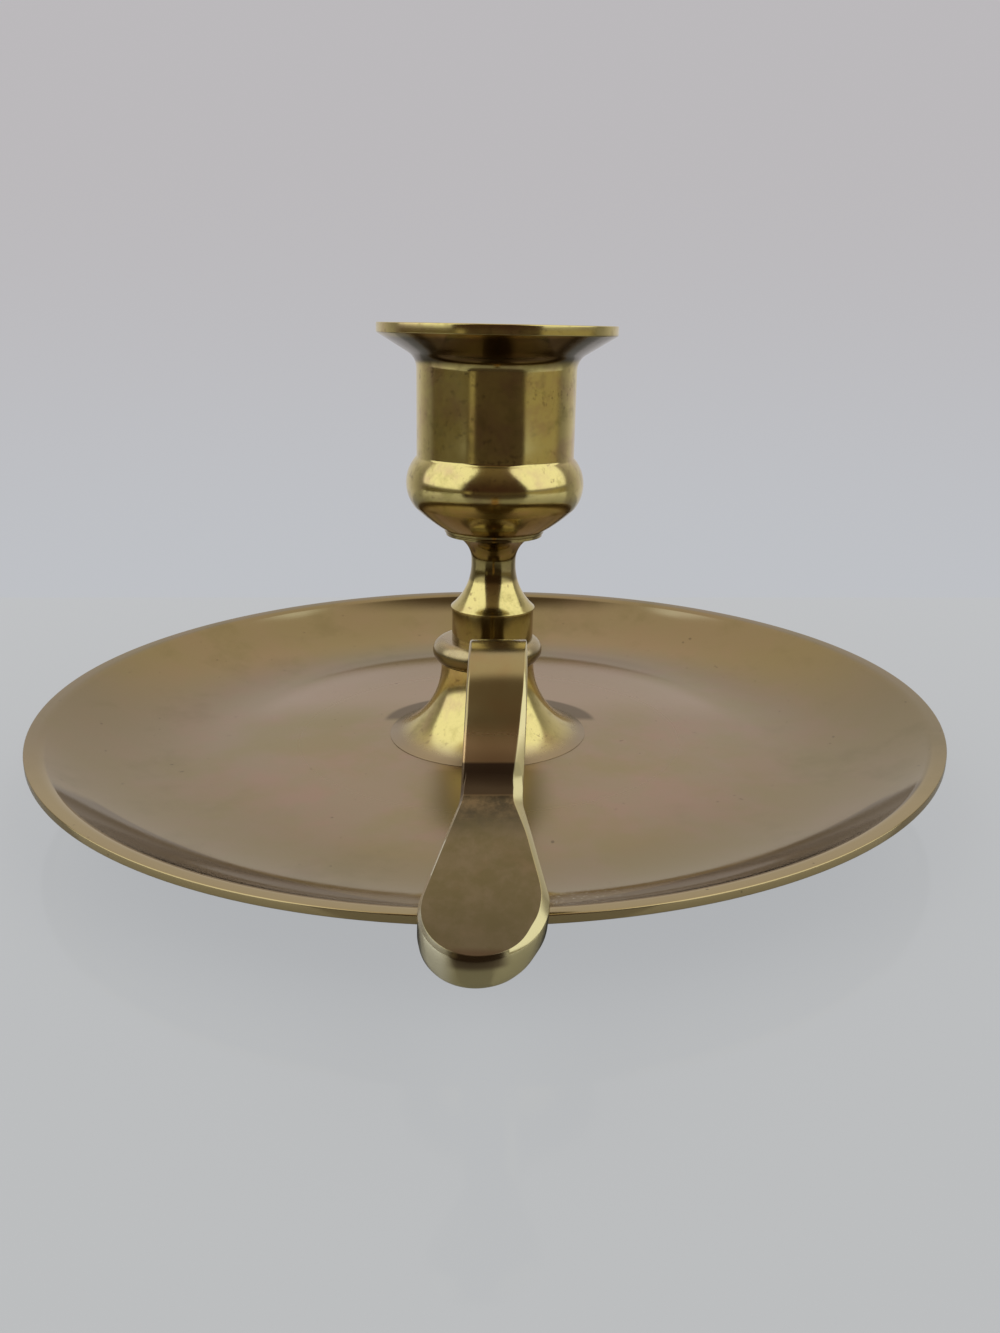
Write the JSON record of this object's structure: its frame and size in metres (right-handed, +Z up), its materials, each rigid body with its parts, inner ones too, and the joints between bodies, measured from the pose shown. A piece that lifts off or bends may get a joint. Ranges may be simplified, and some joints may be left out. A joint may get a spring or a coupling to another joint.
{
  "type": "chamberstick",
  "caption": "Brass chamberstick: dished drip pan, turned stem with a flared candle cup, finger loop with a thumb rest.",
  "frame": {"origin": "middle of the pan on the plane that its foot ring stands on", "axes": "+Z up along the stem, -Y along the handle towards the thumb rest, +X to the right with the handle towards the viewer"},
  "size_m": [0.15, 0.172, 0.0737],
  "materials": {
    "pan_brass": "satin, dulled by age",
    "turned_brass": "turned and polished, lightly toned",
    "screw_brass": "turned, unpolished",
    "handle_brass": "cast, filed and polished, toned"
  },
  "bodies": {
    "root": {"drip_pan": "pan_brass", "trumpet_foot": "turned_brass", "collar_ring": "turned_brass", "baluster_stem": "turned_brass", "candle_cup": "turned_brass", "tie_screw": "screw_brass", "tie_washer": "screw_brass", "finger_loop": "handle_brass", "handle_rivets": "handle_brass"}
  },
  "joints": []
}
